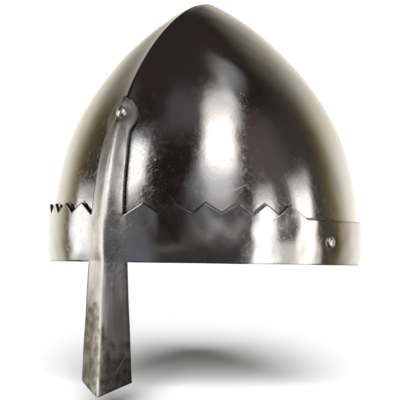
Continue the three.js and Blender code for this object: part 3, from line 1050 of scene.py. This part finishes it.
def shade_over_teeth(place):
    """A line of painted shade just above the sheet's edge on the front half: the edge's height is read
    off at the distance from the middle, and the line is a millimetre high."""
    left_right = Wire.node(place.socket.id_data, "ShaderNodeSeparateXYZ", inputs={0: place})
    front_back, up_down = left_right.other(1), left_right.other(2)
    from_middle = left_right.math("ABSOLUTE") / (BOWL_HALF_WIDTH * MM)
    edge = read_off(from_middle, edge_known, edge_tops)
    above = up_down / MM - edge * CURVE_TOP
    return above.rise(*LINE_FOOT) * above.rise(*LINE_TOP) * front_back.rise(*FRONT_FADE)


edge_known = bowl(knot_turn[:-1], knot_top[:-1])[:, 0] / BOWL_HALF_WIDTH
edge_tops = np.array(knot_top[:-1]) / CURVE_TOP
print("the edge is read off at", len(edge_known), "corners")

# %% [markdown]
# ## The bowl's steel
#
# Outside, the bowl is the plain polished steel. Inside, nobody polished it: the scale from the fire is
# still there, dark and rough. The side of the wall was kept on the points, so one finish does for
# both, and no edge of a second material has to be hidden in the rim.

# %% Bowl steel
COOL, WARM = (0.57, 0.57, 0.58, 1), (0.57, 0.54, 0.505, 1)
SMOOTHNESS = 0.11
FIRE_SCALE = (0.16, 0.14, 0.13, 1)
SCALE_SIZE = 9
SCALE_COVERS, SCALE_ROUGHER, SCALE_RAISED = 0.85, 0.2, 60 * MICRON
TEETH_SHADE, SHADE_COVERS, SHADE_ROUGHER = 0.85, 0.92, 0.2


def bowl_details(place, colour, gloss, relief):
    """The bowl's dark inside, the painted shade beside the strip and over the teeth, and its scratches.
    """
    within = 1.0 - kept_value(place, "outside")
    scale = cloud(place, SCALE_SIZE, 4.0)
    # painted shade in the gap beside the strip and in a line over the teeth
    seam_shade = kept_value(place, "seam_shade") + shade_over_teeth(place) * TEETH_SHADE
    colour = (within * SCALE_COVERS).colours(colour, FIRE_SCALE)
    colour = (seam_shade * SHADE_COVERS).math("MINIMUM", 1.0).colours(colour, PAINTED_SHADE)
    gloss = gloss + within * (SCALE_ROUGHER + scale * SCALE_ROUGHER) + seam_shade * SHADE_ROUGHER
    relief = scratched(place, relief, BOWL_SCRATCHES, bowl)
    return colour, gloss, relief + within * scale * SCALE_RAISED


bowl_piece.data.materials.append(steel("bowl_steel", COOL, WARM, SMOOTHNESS, bowl_details))

# %% [markdown]
# ## The sheet's steel
#
# The strip and the nose guard show the long strokes of the file and the brush, with brown and grey
# bands of burnt oil between them. The lower end of the guard is darker and blotched, and every edge
# and rivet ring gets a line of painted shade. Each is one more layer mixed over the steel: the
# brushing, the oil, the darker end, and the painted shade last.

# %% Sheet steel
COOL_SHEET = (0.56, 0.57, 0.59, 1)
RUBBED_STEEL = (0.5, 0.475, 0.455, 1)
BURNT_OIL = (0.24, 0.2, 0.17, 1)
DULL_STEEL = (0.11, 0.1, 0.078, 1)
WORN_STEEL = (0.32, 0.3, 0.24, 1)
LENGTHWISE = (0, 0, 0)
BRUSH_COVERS, OIL_COVERS, DULL_COVERS, EDGE_SHADE_COVERS = 0.8, 0.45, 0.85, 0.65
BRUSH_ROUGHER, DULL_SMOOTHER = 0.2, 0.04
OIL_FROM, DULL_STEPS, BLOTCH_FROM = (0.45, 0.68), (0.25, 0.8), (0.4, 0.62)
DULL_RAGGED = 1.8
BLOTCH_CLOUD = 0.7
SHEET_RELIEF, BRUSH_FLATTENS = 0.6, 0.5
BRUSH_RAISED, DULL_RAISED = 40 * MICRON, 50 * MICRON


def sheet_details(place, colour, gloss, relief):
    """The sheet's brushing, its darker end, the painted shade along its edges and round its rivets, and
    its scratches.
    """
    brushed, filed = kept_value(place, "brushed"), kept_value(place, "filed")
    oil = streaks(place, LENGTHWISE, 2.6, 70).rise(*OIL_FROM)
    ragged = (cloud(place, 7, 5.0) - 0.5) * DULL_RAGGED
    dull = (kept_value(place, "dulled") + ragged).rise(*DULL_STEPS)
    smears = streaks(place, LENGTHWISE, 1.6, 40, 3.0) * (1 - BLOTCH_CLOUD)
    blotches = (cloud(place, 5, 5.0) * BLOTCH_CLOUD + smears).rise(*BLOTCH_FROM)
    colour = (brushed * BRUSH_COVERS).colours(colour, RUBBED_STEEL)
    colour = (brushed * oil * OIL_COVERS).colours(colour, BURNT_OIL)
    colour = (dull * DULL_COVERS).colours(colour, blotches.colours(DULL_STEEL, WORN_STEEL))
    # painted shade along the sheet's edges and round the rivets
    colour = (filed * EDGE_SHADE_COVERS).colours(colour, PAINTED_SHADE)
    gloss = gloss + brushed * BRUSH_ROUGHER - dull * brushed * DULL_SMOOTHER
    strokes = streaks(place, LENGTHWISE, 1.1, 60, 3.0) - 0.5
    relief = relief * (SHEET_RELIEF - brushed * BRUSH_FLATTENS) + brushed * strokes * BRUSH_RAISED
    relief = relief + dull * (cloud(place, 5, 4.0) - 0.5) * DULL_RAISED
    return colour, gloss, scratched(place, relief, SHEET_SCRATCHES, on_sheet)


sheet_piece.data.materials.append(steel("sheet_steel", COOL_SHEET, WARM, SMOOTHNESS, sheet_details))

# %% [markdown]
# ## Sizes
#
# The finished pieces have to be as large as the solids that they stand for. Both boxes are written
# down, so that they can be compared after every change. The picture's colours are shown as they are,
# without the softening of a film look, because polished steel needs its whites.

# %% Boxes and the end
bpy.context.scene.view_settings.view_transform = "Standard"

bpy.context.view_layer.update()
pieces_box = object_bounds()
for side, was, now in zip(("low", "high"), frame_box, pieces_box):
    off = [round((b - a) / MM, 2) for a, b in zip(was, now)]
    print(side, "corner is off the frame's by", off, "mm")
